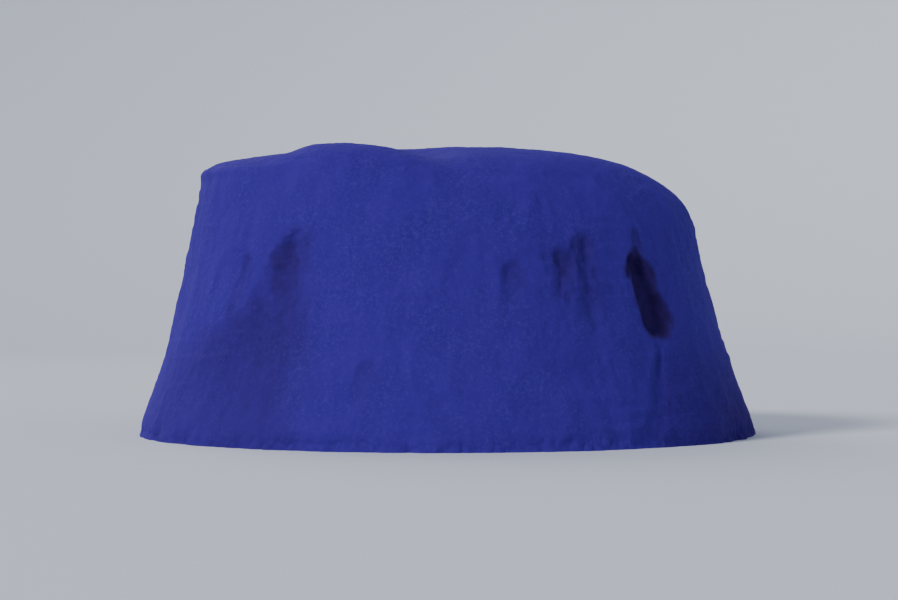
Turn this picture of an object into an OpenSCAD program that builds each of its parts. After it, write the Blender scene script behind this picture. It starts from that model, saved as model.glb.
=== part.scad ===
// Snow igloo: an inner dome of snow blocks under a thick, wind-packed coat of snow.
// Millimetres, +Z up, origin on the ground under the middle of the room, front towards -Y.

/* [Footprint] */
// Thickness of the coat at the ground, over the blocks, towards the left
coat_left = 480; // [400:10:650]
// Thickness of the coat at the ground, over the blocks, towards the right
coat_right = 440; // [430:10:650]
// Thickness of the coat at the ground, over the blocks, towards the front
coat_front = 440; // [410:10:650]
// Thickness of the coat at the ground, over the blocks, towards the rear
coat_rear = 440; // [410:10:650]
// How far the foot of the coat flares out
foot_flare = 100; // [0:5:150]
// Height over which the foot flares
flare_height = 970; // [300:10:1100]

/* [Batter of the coat] */
// Lean of the left side from upright, in degrees
batter_left = 11.2; // [8:0.2:14]
// Lean of the right side from upright, in degrees
batter_right = 10.8; // [8:0.2:15]
// Lean of the front from upright, in degrees
batter_front = 15; // [12:0.2:17]
// Lean of the rear from upright, in degrees
batter_rear = 15; // [12:0.2:17]

/* [Roof] */
// Thickness of the snow over the closing block of the dome
roof_cover = 230; // [200:5:400]
// Depth of the roof pieces, from their foot on the wall panels to the roof's middle
roof_depth = 650; // [630:10:750]
// Fall of the roof from its middle to over the foot of the blocks
roof_fall = 105; // [50:5:150]
// Sharpness of the roof's rim on the left, where wind has cut it
rim_left = 32; // [8:1:40]
// Sharpness of the roof's rim on the right, a broad round shoulder
rim_right = 6.2; // [6:0.2:14]
// Sharpness of the roof's rim at the front and rear
rim_middle = 7.4; // [6:0.2:14]
// How far the lip overhangs the left wall
lip_reach = 26; // [0:2:50]
// Depth of the lip's middle below the roof's middle
lip_centre_depth = 180; // [160:5:300]
// Depth of the lip from its upper to its lower edge
lip_depth = 100; // [60:5:160]
// Height of the drift at the front left of the roof
drift_height = 40; // [0:5:100]
// Depth of the hollow beside the drift
hollow_depth = 55; // [0:5:70]
// How far the roof drops beyond the drift, towards the left
left_drop = 30; // [0:5:80]

/* [Block dome] */
// Radius of the room at the ground
room_radius = 1700; // [1500:10:2000]
// Height of the room
room_height = 1720; // [1600:10:1800]
// Squareness of the dome: 2 is an ellipse, more is a fuller shoulder
room_fullness = 2.8; // [2.2:0.1:3]
// Thickness of the snow blocks
block_thickness = 200; // [150:5:220]
// Length of a snow block
block_length = 720; // [500:10:900]
// Width of the open joint between two blocks of a course
block_joint = 8; // [4:1:20]
// Share of the quarter circle that the courses take, in degrees
coursed_angle = 84; // [80:1:85]
// Bore of the vent through the closing block and the crown
vent_bore = 80; // [50:5:150]

/* [Doorway] */
// Clear width of the doorway
doorway_width = 700; // [550:10:800]
// Clear height of the doorway
doorway_height = 900; // [750:10:950]
// Thickness of the ring of blocks that lines the doorway
lining_thickness = 150; // [100:5:180]
// How far the lining stands proud of the wall at both ends
lining_proud = 35; // [0:5:60]
// Number of wedge blocks in the arch
arch_blocks = 5; // [3:2:9]

/* [Scoured hollows] */
// Bearing and height of both ends of the deep scour on the right
deep_scour = [301, 1220, 302.5, 900]; // [0:0.1:1500]
// Width at both ends and depth of the deep scour
deep_scour_size = [260, 330, 85]; // [20:5:400]
// Bearing and height of both ends of the crease under the deep scour
crease = [302, 660, 295.3, 120]; // [0:0.1:1500]
// Width at both ends and depth of the crease
crease_size = [110, 170, 30]; // [20:5:300]
// Bearing and height of both ends of the first middle scour
middle_scour_a = [281, 1250, 280, 1050]; // [0:0.1:1500]
// Width at both ends and depth of the first middle scour
middle_scour_a_size = [250, 210, 42]; // [20:5:300]
// Bearing and height of both ends of the second middle scour
middle_scour_b = [287.3, 1360, 286.7, 930]; // [0:0.1:1500]
// Width at both ends and depth of the second middle scour
middle_scour_b_size = [200, 240, 38]; // [20:5:300]
// Bearing and height of both ends of the faint scour
faint_scour = [270, 1170, 269.5, 1060]; // [0:0.1:1500]
// Width at both ends and depth of the faint scour
faint_scour_size = [160, 150, 15]; // [20:5:300]
// Bearing and height of both ends of the gully on the left, which widens to its foot
left_gully = [222.7, 1380, 219.5, 560]; // [0:0.1:1500]
// Width at both ends and depth of the gully on the left
left_gully_size = [250, 820, 45]; // [20:5:900]
// Bearing and height of both ends of the faint gully beyond it
outer_gully = [211.5, 1280, 211.5, 1000]; // [0:0.1:1500]
// Width at both ends and depth of the faint gully
outer_gully_size = [140, 180, 18]; // [20:5:300]
// Bearing and height of both ends of the streak near the foot
foot_streak = [241, 540, 240.5, 370]; // [0:0.1:1500]
// Width at both ends and depth of the streak
foot_streak_size = [120, 150, 12]; // [20:5:300]

/* [Surfaces] */
// Clearance between the coat and what it lies on
seat_gap = 0.3; // [0.2:0.1:0.6]

/* [Hidden] */
$fn = 240;
wall_joint_angles = [12, 44, 80, 100, 136, 184, 218, 260, 308, 328, 372];
roof_joint_angles = [60, 120, 184, 228, 292, 356, 420];
column_angle = 4;
scoured_angle = 4 / 3;
gully_angle = 2;
plain_rows = [2, 4, 5, 4];
scoured_rows = [2, 6, 8, 6];
scour_bank = 0.6;
courses = 7;
crown_margin = 8;
crown_ring_count = 5;
least_row = 30;
roof_rows = 4;
rim_rows = 5;
rim_crowding = 0.7;
crown_crowding = 1.3;
lining_band_angle = 60;
dome_foot = room_radius + block_thickness;
foot_left = dome_foot + coat_left;
foot_right = dome_foot + coat_right;
foot_front = dome_foot + coat_front;
foot_rear = dome_foot + coat_rear;
roof_height = room_height + block_thickness + roof_cover;
eaves_height = roof_height - roof_depth;
lip_height = roof_height - lip_centre_depth;
arch_radius = doorway_width / 2;
arch_spring = doorway_height - arch_radius;
lining_reach = arch_radius + lining_thickness;
course_angle = coursed_angle / courses;
rear = 90;
lip_angle = 180;
lip_spread_angle = 34;
drift_place = [-1120, -970];
drift_spread = [375, 750];
hollow_place = [-400, -1020];
hollow_spread = [200, 650];
drop_start = -1205;
drop_width = 150;

// A value that changes smoothly round the plan between its left, right, front and rear values
function around(bearing, left, right, front, back) =
    let (c = cos(bearing), s = sin(bearing))
    (c > 0 ? right : left) * c * c + (s > 0 ? back : front) * s * s;

function smooth(x) = let (t = min(1, max(0, x))) t * t * (3 - 2 * t);

function bell(x, spread) = exp(-(x / spread) * (x / spread));

function polar(radius, bearing, height) = [radius * cos(bearing), radius * sin(bearing), height];

// The battered wall alone, with its flared foot, as a radius at a bearing and a height
function batter_radius(bearing, z) =
    around(bearing, foot_left, foot_right, foot_front, foot_rear) - foot_flare
    - z * tan(around(bearing, batter_left, batter_right, batter_front, batter_rear))
    + foot_flare * pow(max(0, 1 - z / flare_height), 2);

function rim_sharpness(bearing) = around(bearing, rim_left, rim_right, rim_middle, rim_middle);

// Share of the full radius and height at the middle of the rounded rim
function rim_share(bearing) = pow(2, -1 / rim_sharpness(bearing));

// Snow relief of the roof, which fades out over the crown
function relief(x, y) =
    smooth((norm([x, y]) - crown_radius) / crown_radius)
    * (drift_height * bell(x - drift_place.x, drift_spread.x) * bell(y - drift_place.y, drift_spread.y)
    - hollow_depth * bell(x - hollow_place.x, hollow_spread.x) * bell(y - hollow_place.y, hollow_spread.y)
    - left_drop * smooth((drop_start - x) / drop_width)
        * bell(y - drift_place.y, drift_spread.y));

// Height of the roof before its rim is rounded off
function roof_surface(x, y) =
    roof_height - roof_fall * (x * x + y * y) / pow(dome_foot, 2) + relief(x, y);

function nominal_rim(bearing) =
    rim_share(bearing) * batter_radius(bearing, rim_share(bearing) * (roof_height - roof_fall));

function rim_top(bearing) =
    let (p = polar(nominal_rim(bearing), bearing, 0)) roof_surface(p.x, p.y);

function lip(bearing, z) =
    lip_reach * bell(bearing - lip_angle, lip_spread_angle) * bell(z - lip_height, lip_depth / 2);

// Depth of one scoured hollow, a tapered trough with round ends that is laid out on the unrolled wall
function scour(bearing, z, ends, size) =
    let (arc = PI / 180 * batter_radius(ends[0], ends[1]),
        run = [(ends[2] - ends[0]) * arc, ends[3] - ends[1]],
        off = [(bearing - ends[0]) * arc, z - ends[1]],
        t = min(1, max(0, off * run / (run * run))),
        width = size[0] + (size[1] - size[0]) * t)
    size[2] * smooth((1 - 2 * norm(off - t * run) / width) / scour_bank);

function scours(bearing, z) = max(
    scour(bearing, z, deep_scour, deep_scour_size),
    scour(bearing, z, crease, crease_size),
    scour(bearing, z, middle_scour_a, middle_scour_a_size),
    scour(bearing, z, middle_scour_b, middle_scour_b_size),
    scour(bearing, z, faint_scour, faint_scour_size),
    scour(bearing, z, left_gully, left_gully_size),
    scour(bearing, z, outer_gully, outer_gully_size),
    scour(bearing, z, foot_streak, foot_streak_size));

// Outer radius of the coat up to the middle of its rounded rim
function coat_radius(bearing, z) =
    let (p = rim_sharpness(bearing))
    batter_radius(bearing, z) * pow(1 - pow(z / rim_top(bearing), p), 1 / p)
    + lip(bearing, z) - scours(bearing, z);

// Distance from the middle of the floor to the inner and outer face of the block dome
function room_ray(a) =
    pow(pow(cos(a) / room_radius, room_fullness) + pow(sin(a) / room_height, room_fullness),
        -1 / room_fullness);

function dome_ray(a) = room_ray(a) + block_thickness;

function on_ray(a, distance) = [distance * cos(a), distance * sin(a)];

// Outline of the dome's outer face, as height and radius at each bed joint
dome_outline = concat(
    [for (i = [0:courses]) let (a = i * course_angle, p = on_ray(a, dome_ray(a))) [p.y, p.x]],
    [[dome_ray(90), 0]]);

function dome_radius(z) = lookup(z, dome_outline);

// Radius of the crown, just outside the foot of the top course
crown_radius = dome_outline[courses - 1][1] + crown_margin;

// Inner radius of the faceted coat, so that its flats clear the round dome
function seat_radius(radius, step) = radius / cos(step / 2) + seat_gap;

// Heights of the coat's rows: each course is divided evenly, up to the eaves
function wall_rows(counts) = concat(
    [for (i = [0:len(counts) - 1], k = [0:counts[i] - 1])
        let (z = dome_outline[i][0] + (dome_outline[i + 1][0] - dome_outline[i][0]) * k / counts[i])
        if (z < eaves_height - least_row) z],
    [eaves_height]);

// Closed solid between an outer and an inner grid of points with as many rows and columns
module solid_between(outer, inner) {
    rows = len(outer);
    columns = len(outer[0]);
    flat = [for (row = outer) each row];
    under = [for (row = inner) each row];
    function o(i, j) = i * columns + j;
    function n(i, j) = rows * columns + i * columns + j;
    last_row = rows - 1;
    last_column = columns - 1;
    skin = [for (i = [0:rows - 2], j = [0:columns - 2]) each [
        [o(i, j), o(i + 1, j), o(i, j + 1)],
        [o(i + 1, j), o(i + 1, j + 1), o(i, j + 1)],
        [n(i, j), n(i, j + 1), n(i + 1, j)],
        [n(i + 1, j), n(i, j + 1), n(i + 1, j + 1)]]];
    edges = [for (j = [0:columns - 2]) each [
        [o(0, j), o(0, j + 1), n(0, j + 1), n(0, j)],
        [o(last_row, j), n(last_row, j), n(last_row, j + 1), o(last_row, j + 1)]]];
    ends = [for (i = [0:rows - 2]) each [
        [n(i, 0), n(i + 1, 0), o(i + 1, 0), o(i, 0)],
        [o(i, last_column), o(i + 1, last_column), n(i + 1, last_column), n(i, last_column)]]];
    polyhedron(points = concat(flat, under), faces = concat(skin, edges, ends), convexity = 6);
}

// Bearings from one joint of a list to the next in even steps, both included
function bearings_between(joints, i, step) =
    let (from = joints[i], to = joints[i + 1], count = round((to - from) / step))
    [for (k = [0:count]) from + (to - from) * k / count];

// The upright panel of the coat from one wall joint to the next
module coat_panel(i, step, counts) {
    bearings = bearings_between(wall_joint_angles, i, step);
    solid_between(
        [for (z = wall_rows(counts)) [for (b = bearings) polar(coat_radius(b, z), b, z)]],
        [for (z = wall_rows(counts)) [for (b = bearings)
            polar(seat_radius(dome_radius(z), step), b, z)]]);
}

// Rows of a roof piece: inner points follow the dome from the eaves to the crown
eaves_angle = atan2(eaves_height, dome_radius(eaves_height));
crown_course = courses - 1;

function dome_rows() = [for (i = [0:crown_course], k = [0:roof_rows - 1])
    let (a = dome_outline[i], b = dome_outline[i + 1], z = a[0] + (b[0] - a[0]) * k / roof_rows)
    if (z > eaves_height + least_row && i < crown_course) [dome_radius(z), z]];

inner_rows = concat([[dome_radius(eaves_height), eaves_height]], dome_rows(),
    [[crown_radius, lookup(crown_radius, [[0, dome_outline[courses + 1][0]],
        [dome_outline[courses][1], dome_outline[courses][0]],
        [dome_outline[courses - 1][1], dome_outline[courses - 1][0]]])]]);

// A point of the roof's outer face: row 0 is at the eaves, the last row at the crown
function roof_point(bearing, row) =
    let (share = rim_share(bearing), top = rim_top(bearing), p = rim_sharpness(bearing),
        rim_radius = batter_radius(bearing, share * top) * share,
        crown = seat_radius(crown_radius, column_angle))
    row <= rim_rows
    ? let (z = eaves_height + (share * top - eaves_height) * pow(row / rim_rows, rim_crowding))
        polar(coat_radius(bearing, z), bearing, z)
    : let (t = (row - rim_rows) / (len(inner_rows) - 1 - rim_rows),
        radius = rim_radius + (crown - rim_radius) * pow(t, crown_crowding),
        flat = polar(radius, bearing, 0))
        [flat.x, flat.y, roof_surface(flat.x, flat.y) * pow(1 - pow(radius * share / rim_radius, p), 1 / p)];

// The roof piece from one roof joint to the next
module roof_piece(joint) {
    bearings = bearings_between(roof_joint_angles, joint, column_angle);
    last = len(inner_rows) - 1;
    solid_between(
        [for (i = [0:last]) [for (b = bearings) roof_point(b, i)]],
        [for (i = [0:last]) [for (b = bearings)
            polar(seat_radius(inner_rows[i][0], column_angle), b, inner_rows[i][1])]]);
}

// Space taken by the doorway and its lining, through the whole wall
module lining_space(margin) {
    half = lining_reach + margin;
    depth = foot_rear - room_radius / 2;
    translate([-half, room_radius / 2, -1])
        cube([2 * half, depth, arch_spring + 1]);
    translate([0, room_radius / 2, arch_spring])
        rotate([-90, 0, 0])
            cylinder(r = half, h = depth);
}

// The wall's thickness at the rear, a little proud of both faces
module lining_band() {
    top_course = ceil(atan2(arch_spring + lining_reach, room_radius) / course_angle) + 1;
    inner = [for (i = [0:top_course])
        on_ray(i * course_angle, room_ray(i * course_angle) - lining_proud)];
    top = inner[len(inner) - 1].y;
    outer = [for (z = [top, flare_height, flare_height / 2, 0])
        [coat_radius(rear, z) + lining_proud, z]];
    rotate([0, 0, rear - lining_band_angle / 2])
        rotate_extrude(angle = lining_band_angle)
            polygon(concat(inner, outer));
}

// One course of leaning blocks, laid from one bearing to another
module course_blocks(number, from, to, count) {
    low = (number - 1) * course_angle;
    high = number * course_angle;
    section = [on_ray(low, room_ray(low)), on_ray(low, dome_ray(low)),
        on_ray(high, dome_ray(high)), on_ray(high, room_ray(high))];
    pitch = (to - from) / count;
    gap = block_joint / section[3].x * 180 / PI;
    for (k = [0:count - 1])
        rotate([0, 0, from + k * pitch + gap / 2])
            rotate_extrude(angle = pitch - gap)
                polygon(section);
}

function course_count(number) =
    max(4, round(2 * PI * dome_outline[number - 1][1] / block_length));

// A course that the doorway interrupts starts and ends at the lining
module doorway_course(number) {
    start = asin(lining_reach / dome_outline[number][1]) - 1;
    color("aliceblue")
        difference() {
            course_blocks(number, rear + start, rear + 360 - start, course_count(number) - 1);
            lining_space(seat_gap);
        }
}

// A full course: every second one has a block over the doorway, the others a joint
module full_course(number) {
    count = course_count(number);
    start = rear - (number % 2) * 180 / count;
    color("aliceblue")
        difference() {
            course_blocks(number, start, start + 360, count);
            if (number == 3) lining_space(seat_gap);
        }
}

module block_course_1() doorway_course(1);
module block_course_2() doorway_course(2);
module block_course_3() full_course(3);
module block_course_4() full_course(4);
module block_course_5() full_course(5);
module block_course_6() full_course(6);
module block_course_7() full_course(7);

module king_block() {
    a = courses * course_angle;
    color("azure")
        difference() {
            rotate_extrude()
                polygon([[0, room_ray(90)], on_ray(a, room_ray(a)),
                    on_ray(a, dome_ray(a)), [0, dome_ray(90)]]);
            translate([0, 0, room_height - block_thickness])
                cylinder(d = vent_bore, h = 3 * block_thickness);
        }
}

module jamb(side) {
    color("azure")
        intersection() {
            lining_band();
            translate([side > 0 ? arch_radius : -lining_reach, room_radius / 2, 0])
                cube([lining_thickness, foot_rear, arch_spring]);
        }
}

module doorway_left_jamb() jamb(-1);
module doorway_right_jamb() jamb(1);

module doorway_arch() {
    pitch = 180 / arch_blocks;
    gap = block_joint / arch_radius * 180 / PI;
    color("azure")
        intersection() {
            lining_band();
            translate([0, room_radius / 2, arch_spring])
                rotate([-90, 0, 0])
                    for (k = [0:arch_blocks - 1])
                        rotate([0, 0, 180 + k * pitch + (k == 0 ? 0 : gap / 2)])
                            rotate_extrude(angle = pitch - (k == 0 || k == arch_blocks - 1 ? gap / 2 : gap))
                                translate([arch_radius, 0])
                                    square([lining_thickness, foot_rear]);
        }
}

// A panel that the doorway runs through or past
module doorway_panel(joint) {
    color("lavender")
        difference() {
            coat_panel(joint, column_angle, plain_rows);
            lining_space(seat_gap);
        }
}

module coat_rear_right() color("lavender") coat_panel(0, column_angle, plain_rows);
module coat_doorway_right() doorway_panel(1);
module coat_over_doorway() doorway_panel(2);
module coat_doorway_left() doorway_panel(3);
module coat_rear_left() color("lavender") coat_panel(4, column_angle, plain_rows);
module coat_left_front() color("lavender") coat_panel(5, gully_angle, scoured_rows);
module coat_front_left() color("lavender") coat_panel(6, gully_angle, scoured_rows);
module coat_front_right() color("lavender") coat_panel(7, scoured_angle, scoured_rows);
module coat_right_front() color("lightsteelblue") coat_panel(8, column_angle, plain_rows);
module coat_right_rear() color("lightsteelblue") coat_panel(9, column_angle, plain_rows);

module roof_rear() color("white") roof_piece(0);
module roof_rear_left() color("white") roof_piece(1);
module roof_front_left() color("white") roof_piece(2);
module roof_front() color("white") roof_piece(3);
module roof_right() color("white") roof_piece(4);
module roof_rear_right() color("white") roof_piece(5);

module roof_crown() {
    edge = inner_rows[len(inner_rows) - 1];
    joint = dome_outline[courses];
    color("white")
        difference() {
            rotate_extrude()
                polygon(concat(
                    [[0, dome_ray(90) + seat_gap], [joint[1], joint[0] + seat_gap],
                        [edge.x, edge.y + seat_gap]],
                    [for (k = [0:crown_ring_count])
                        let (r = crown_radius * (1 - k / crown_ring_count)) [r, roof_surface(r, 0)]]));
            translate([0, 0, room_height])
                cylinder(d = vent_bore, h = roof_height);
        }
}

block_course_1();
block_course_2();
block_course_3();
block_course_4();
block_course_5();
block_course_6();
block_course_7();
king_block();
doorway_left_jamb();
doorway_right_jamb();
doorway_arch();
coat_front_left();
coat_front_right();
coat_right_front();
coat_right_rear();
coat_rear_right();
coat_doorway_right();
coat_over_doorway();
coat_doorway_left();
coat_rear_left();
coat_left_front();
roof_front();
roof_right();
roof_rear_right();
roof_rear();
roof_rear_left();
roof_front_left();
roof_crown();
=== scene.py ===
import math

import bpy
import numpy as np
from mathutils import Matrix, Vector


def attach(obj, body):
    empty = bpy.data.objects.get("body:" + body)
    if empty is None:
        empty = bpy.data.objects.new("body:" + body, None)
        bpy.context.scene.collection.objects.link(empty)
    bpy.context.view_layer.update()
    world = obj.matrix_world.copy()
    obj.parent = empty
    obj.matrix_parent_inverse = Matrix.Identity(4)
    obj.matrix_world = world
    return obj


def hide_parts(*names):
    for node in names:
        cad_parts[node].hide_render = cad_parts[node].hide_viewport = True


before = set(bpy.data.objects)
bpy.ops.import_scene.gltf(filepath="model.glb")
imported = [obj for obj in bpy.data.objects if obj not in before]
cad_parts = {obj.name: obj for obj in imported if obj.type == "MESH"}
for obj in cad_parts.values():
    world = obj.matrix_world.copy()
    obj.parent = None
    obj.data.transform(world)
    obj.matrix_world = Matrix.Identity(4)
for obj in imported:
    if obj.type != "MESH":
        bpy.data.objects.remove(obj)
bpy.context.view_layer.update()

# Snow igloo: a dome of sawn snow blocks under a thick coat of snow that wind has packed and scoured.
# Metres, +Z up, the origin on the ground under the middle of the room, the front towards -Y.
# Bearings are in degrees: 0 to the right, 90 to the rear, where the doorway is, and 270 to the front.

# ---------------------------------------------------------------- sizes, as in the CAD source
# The dome: a room whose section is a superellipse of power FULLNESS, and courses of leaning blocks
ROOM_RADIUS, ROOM_HEIGHT, FULLNESS = 1.700, 1.720, 2.8
BLOCK, BLOCK_LENGTH, BLOCK_JOINT = 0.200, 0.720, 0.008
COURSES, COURSE_ANGLE = 7, 12
VENT = 0.040
DOME_FOOT = ROOM_RADIUS + BLOCK
# The coat: radius of its foot, lean in degrees, and sharpness of its rim, towards each side
FOOT = dict(left=DOME_FOOT + 0.480, right=DOME_FOOT + 0.440, front=DOME_FOOT + 0.440, rear=DOME_FOOT + 0.440)
BATTER = dict(left=11.2, right=10.8, front=15, rear=15)
RIM = dict(left=32, right=6.2, front=7.4, rear=7.4)
# The parabola that flares its foot, and the lip on its left rim: reach, height, depth and spread in degrees
FLARE, FLARE_HEIGHT = 0.100, 0.970
LIP_REACH, LIP_HEIGHT, LIP_DEPTH, LIP_SPREAD = 0.026, 1.970, 0.100, 34
# The roof, from the eaves, where it stands on the wall panels, to the crown in its middle
ROOF_HEIGHT, EAVES, ROOF_FALL, CROWN = 2.150, 1.500, 0.105, 0.620
DRIFT_HEIGHT, DRIFT_AT, DRIFT_SPREAD = 0.040, (-1.120, -0.970), (0.375, 0.750)
HOLLOW_DEPTH, HOLLOW_AT, HOLLOW_SPREAD = 0.055, (-0.400, -1.020), (0.200, 0.650)
LEFT_DROP, DROP_START, DROP_WIDTH = 0.030, -1.205, 0.150
# The doorway: its bearing, the height where its arch springs, and that arch's radius. Its lining reaches to
# LINING_REACH from the middle line and stands proud of both faces, with a gap of CLEAR round it
DOORWAY, SPRING, ARCH = 90, 0.550, 0.350
LINING_REACH, LINING_PROUD, VOUSSOIRS = 0.500, 0.035, 5
CLEAR = 0.0008
# Bearings of the upright joints between the panels of the wall and between the pieces of the roof
WALL_JOINTS = (12, 44, 80, 100, 136, 184, 218, 260, 308, 328, 372)
ROOF_JOINTS = (60, 120, 184, 228, 292, 356, 420)
# Each scour: bearing and height of both ends, its width at each, its depth, and its darkening by bare ice and
# painted shade.
# A deeper one than SHARP_DEPTH has a sharp edge, the others are soft
SCOURS = (
    (301, 1.220, 302.5, 0.900, 0.260, 0.330, 0.085, 1.0),    # the deep scour
    (302, 0.660, 295.3, 0.120, 0.110, 0.170, 0.030, 0.12),   # the crease under it
    (281, 1.250, 280, 1.050, 0.250, 0.210, 0.042, 0.52),     # the two middle scours
    (287.3, 1.360, 286.7, 0.930, 0.200, 0.240, 0.038, 0.42),
    (270, 1.170, 269.5, 1.060, 0.160, 0.150, 0.015, 0.28),   # the faint scour
    (222.7, 1.380, 219.5, 0.560, 0.250, 0.820, 0.045, 0.30),  # the wide gully on the left
    (211.5, 1.280, 211.5, 1.000, 0.140, 0.180, 0.018, 0.26),  # the faint gully beyond it
    (241, 0.540, 240.5, 0.370, 0.120, 0.150, 0.012, 0.14),   # the streak near the foot
)
SCOUR_BANK, SHARP_DEPTH, SOFT_MARGIN = 0.6, 0.06, 0.20
SOFT_START, SOFT_LOSS = 1.1, 0.5

# ---------------------------------------------------------------- what wind and age add, in the scene only
# A taller drift and a deeper hollow, and the relief of the right flank, as bells of height, middle and spread
DRIFT_MORE, HOLLOW_MORE = 0.014, 0.018
FLANK_BEARING, FLANK_SPREAD = 340, 30
FLANK_BELLS = ((0.028, 1.70, 0.17), (-0.034, 1.10, 0.38), (-0.018, 2.02, 0.12))
# Marks of painted shade and darker snow: written as scours without depth, they only colour the snow
PAINTED_SHADE_MARKS = (
    (221.1, 1.300, 224.3, 0.760, 0.230, 0.330, 0, 0.58),     # painted shade: the dark core of the wide gully
    (217, 0.700, 208.5, 0.060, 0.700, 1.800, 0, 0.42),       # painted shade in a band that fans out under it
    (284, 1.150, 283.5, 1.050, 0.500, 0.460, 0, 0.22),       # a veil round the middle scours
    (302.6, 1.480, 301.5, 1.240, 0.060, 0.160, 0, 0.45),     # a wisp over the deep scour
    (302.9, 1.235, 304.7, 1.000, 0.170, 0.130, 0, 0.95),     # painted shade on the right bank of the deep scour, which the key lamp lights
)
# Bare ice and painted shade start outside a scour's edge, by a share of its half width, and fade in over the
# second share
SHARP_BARE_SHADE, SOFT_BARE_SHADE = (0.20, 0.42), (0.45, 0.80)
# Noise of 1 moves a scour's edge by half of EDGE_WANDER, and by less in a scour narrower than EDGE_LEAST
EDGE_WANDER, EDGE_LEAST = 0.26, 0.18

# Layers of noise: the height of each, its shift, and the size of its cell
SWELLS = ((0.014, 0, 0.8),)
FLUTES = ((0.0055, 0, (0.14, 0.14, 0.9)), (0.0025, 7, (0.055, 0.055, 0.5)))
FINE_RIPPLES = ((0.0018, 3, (0.22, 0.07, 0.3)),)
GRAIN = ((0.0022, 0, 0.05), (0.0012, 5, 0.027))
OLD_CLODS = ((0.006, 0, 0.10), (0.0035, 9, 0.05))
SCOUR_LEDGES = ((0.007, 0, (0.11, 0.11, 0.06)), (0.004, 4, (0.05, 0.05, 0.025)))
SCOUR_EDGES = ((0.42, 0, (0.16, 0.16, 0.30)), (0.20, 2, (0.06, 0.06, 0.10)))
FOOT_LUMPS = ((0.040, 13, (0.22, 0.22, 0.3)), (0.016, 17, 0.07))
# Creased noise: its height, the size of its cell, and the level that its creases rise to. The roof keeps only
# a share of the scallops
SCALLOPS, RIPPLES = (0.014, (0.30, 0.30, 0.24), 0.45), (0.005, (0.50, 0.16, 0.5), 0.4)
SCALLOPS_ON_ROOF = 0.45
# Ledges of wind crust: height, pitch, how many pitches noise shifts them by, and their rising share
CRUST_HEIGHT, CRUST_PITCH, CRUST_WANDER, CRUST_RISE = 0.0055, 0.12, 0.9, 0.8
CRUST_CELL, CRUST_GAPS_CELL, CRUST_GAPS = (0.7, 0.7, 0.3), (0.45, 0.45, 0.22), (0.05, 0.5)
# Clods: their share on fresh snow and what full age adds. Ledges in a scour are full from LEDGE_DEPTH on
CLODS_FRESH, CLODS_AGED, LEDGE_DEPTH = 0.15, 0.70, 0.04
# The foot is drawn in at its lowest part, and the whole surface a little, so that both stay in the solids
FOOT_RISE, FOOT_DRAW, FOOT_MARGIN, DRAWN_IN = 0.09, 0.044, 0.002, 0.004

# Old snow and painted shade begin at the crease, which turns back by CREASE_TURN towards the foot, and end on
# the right
CREASE_BEARING, CREASE_TURN, CREASE_TOP, CREASE_FALL, CREASE_EDGE = 302.5, 8.5, 0.75, 0.7, 4
OLD_END, OLD_FADE = 405, 60
# Its share: the least, what the lower wall adds, and what the right corner at the foot adds, so it is darker
# towards the foot
OLD_LEAST, OLD_LOW, OLD_CORNER = 0.12, 0.34, 0.75
LOW_TOP, LOW_FADE, OLD_TOP, TOP_FADE = 0.85, 0.45, 1.95, 0.5
CORNER_BEARING, CORNER_SPREAD, CORNER_HEIGHT = 327, 17, 0.34

# ---------------------------------------------------------------- fineness of the meshes
# Columns a degree and height of a row: fine where the photograph looks, plain elsewhere
FINE, PLAIN = dict(per_degree=4, row=0.0105), dict(per_degree=3, row=0.012)
ROOF_ROWS, CROWN_ROWS, CROWN_COLS = 156, 54, 360
# The inner face of a panel has a point for every STRIDE-th outer one
STRIDE = 6
# The coat's inner face lies OFF_DOME off the dome, outwards under the wall and upwards under the roof, and
# there OFF_ROOF outwards as well
OFF_DOME, OFF_ROOF = 0.002, 0.001


# ---------------------------------------------------------------- form of the igloo
def around(b, side):
    """A value that turns with the bearing: side value times cos squared plus end value times sin squared."""
    c, s = np.cos(np.radians(b)), np.sin(np.radians(b))
    across = np.where(c > 0, side["right"], side["left"])
    return across * c * c + np.where(s > 0, side["rear"], side["front"]) * s * s


def smooth(x):
    """0 below 0, 1 above 1, and 3t squared minus 2t cubed between."""
    t = np.clip(x, 0, 1)
    return t * t * (3 - 2 * t)


def bell(x, spread):
    """exp of minus (x over spread) squared."""
    return np.exp(-((x / spread) ** 2))


def polar(radius, b, z):
    """Points from a radius, a bearing in degrees and a height."""
    t = np.radians(b)
    return np.stack(np.broadcast_arrays(radius * np.cos(t), radius * np.sin(t), z), -1)


def from_left(b):
    """The same bearing between 180 and 540, so that the right side isn't split at 0."""
    return np.mod(b - 180, 360) + 180


def batter_radius(b, z):
    """Radius of the leaning wall: foot radius less z times tan(lean), plus the parabola of its flare."""
    return (around(b, FOOT) - FLARE - z * np.tan(np.radians(around(b, BATTER)))
            + FLARE * np.maximum(0, 1 - z / FLARE_HEIGHT) ** 2)


def rim_share(b):
    """Share of full radius and height at the middle of the rounded rim: 2 to the power -1/sharpness."""
    return 2 ** (-1 / around(b, RIM))


def roof_surface(x, y):
    """Height of the roof before its rim is rounded.

    A shallow paraboloid, plus a drift, less a hollow and a drop to the left. These fade out over the crown.
    """
    drift = bell(x - DRIFT_AT[0], DRIFT_SPREAD[0]) * bell(y - DRIFT_AT[1], DRIFT_SPREAD[1])
    hollow = bell(x - HOLLOW_AT[0], HOLLOW_SPREAD[0]) * bell(y - HOLLOW_AT[1], HOLLOW_SPREAD[1])
    drop = smooth((DROP_START - x) / DROP_WIDTH) * bell(y - DRIFT_AT[1], DRIFT_SPREAD[1])
    relief = (DRIFT_HEIGHT + DRIFT_MORE) * drift - (HOLLOW_DEPTH + HOLLOW_MORE) * hollow - LEFT_DROP * drop
    return (ROOF_HEIGHT - ROOF_FALL * (x * x + y * y) / DOME_FOOT ** 2
            + relief * smooth((np.hypot(x, y) - CROWN) / CROWN))


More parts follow.
